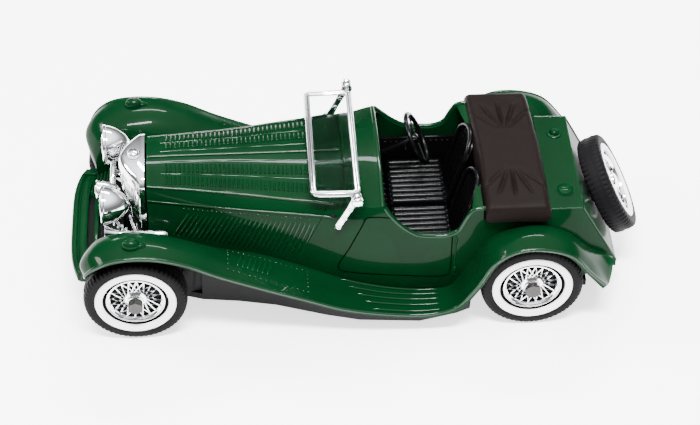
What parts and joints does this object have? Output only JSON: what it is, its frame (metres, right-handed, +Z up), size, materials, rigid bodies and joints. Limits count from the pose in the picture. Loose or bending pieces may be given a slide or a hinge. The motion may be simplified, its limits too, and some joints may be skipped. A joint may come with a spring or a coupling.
{
  "type": "diecast collector car",
  "caption": "Small diecast open two-seat roadster with rolling wire wheels, a windscreen that folds flat, a bucket-seat cockpit, a folded hood and a spare wheel on the tail.",
  "frame": {"origin": "on the ground, under the middle of the whole car", "axes": "+X towards the tail, +Y to the right-hand side of the car (the steering-wheel side), +Z up; the nose points to -X"},
  "size_m": [0.1024, 0.0422, 0.0287],
  "materials": {
    "green_paint": "deep gloss enamel over a zinc casting",
    "bright_plating": "bright vacuum plating",
    "grille_plating": "plated slats with dark recesses",
    "wheel_plating": "bright plated wire wheel moulding",
    "axle_steel": "plain drawn steel",
    "tyre_rubber": "matt",
    "whitewall_white": "satin",
    "lamp_lens": "clear, ribbed",
    "screen_clear": "clear",
    "interior_moulding": "gloss",
    "control_moulding": "gloss",
    "baseplate_black": "satin",
    "hood_moulding": "matt, leathery"
  },
  "bodies": {
    "car": {"body_casting": "green_paint", "wing_casting": "green_paint", "filler_cap_left": "green_paint", "filler_cap_right": "green_paint", "radiator_shell": "bright_plating", "radiator_cap": "bright_plating", "headlamp_left": "bright_plating", "headlamp_right": "bright_plating", "lamp_bar": "bright_plating", "driving_lamp": "bright_plating", "horn_left": "bright_plating", "horn_right": "bright_plating", "windscreen_post_left": "bright_plating", "windscreen_post_right": "bright_plating", "radiator_grille": "grille_plating", "front_axle": "axle_steel", "rear_axle": "axle_steel", "front_rivet": "axle_steel", "rear_rivet": "axle_steel", "spare_bracket": "axle_steel", "spare_tyre": "tyre_rubber", "spare_whitewall": "whitewall_white", "spare_wire_wheel": "wheel_plating", "headlamp_lens_left": "lamp_lens", "headlamp_lens_right": "lamp_lens", "driving_lamp_lens": "lamp_lens", "interior_tub": "interior_moulding", "seat_left": "interior_moulding", "seat_right": "interior_moulding", "dashboard": "interior_moulding", "steering_wheel": "control_moulding", "steering_column": "control_moulding", "baseplate": "baseplate_black", "hood": "hood_moulding"},
    "front_left_wheel": {"front_left_tyre": "tyre_rubber", "front_left_whitewall": "whitewall_white", "front_left_wire_wheel": "wheel_plating"},
    "front_right_wheel": {"front_right_tyre": "tyre_rubber", "front_right_whitewall": "whitewall_white", "front_right_wire_wheel": "wheel_plating"},
    "rear_left_wheel": {"rear_left_tyre": "tyre_rubber", "rear_left_whitewall": "whitewall_white", "rear_left_wire_wheel": "wheel_plating"},
    "rear_right_wheel": {"rear_right_tyre": "tyre_rubber", "rear_right_whitewall": "whitewall_white", "rear_right_wire_wheel": "wheel_plating"},
    "windscreen": {"windscreen_frame": "bright_plating", "windscreen_pane": "screen_clear", "windscreen_nut_left": "bright_plating", "windscreen_nut_right": "bright_plating"}
  },
  "joints": [
    {"name": "front_left_spin", "type": "hinge", "parent": "car", "child": "front_left_wheel", "pos_m": [-0.0395, -0.0175, 0.0091], "axis": [0, 1, 0], "continuous": true},
    {"name": "front_right_spin", "type": "hinge", "parent": "car", "child": "front_right_wheel", "pos_m": [-0.0395, 0.0175, 0.0091], "axis": [0, 1, 0], "continuous": true},
    {"name": "rear_left_spin", "type": "hinge", "parent": "car", "child": "rear_left_wheel", "pos_m": [0.03, -0.0175, 0.0091], "axis": [0, 1, 0], "continuous": true},
    {"name": "rear_right_spin", "type": "hinge", "parent": "car", "child": "rear_right_wheel", "pos_m": [0.03, 0.0175, 0.0091], "axis": [0, 1, 0], "continuous": true},
    {"name": "windscreen_fold", "type": "hinge", "parent": "car", "child": "windscreen", "pos_m": [-0.00085, 0, 0.0277], "axis": [0, 1, 0], "range_deg": [0, 100]}
  ]
}
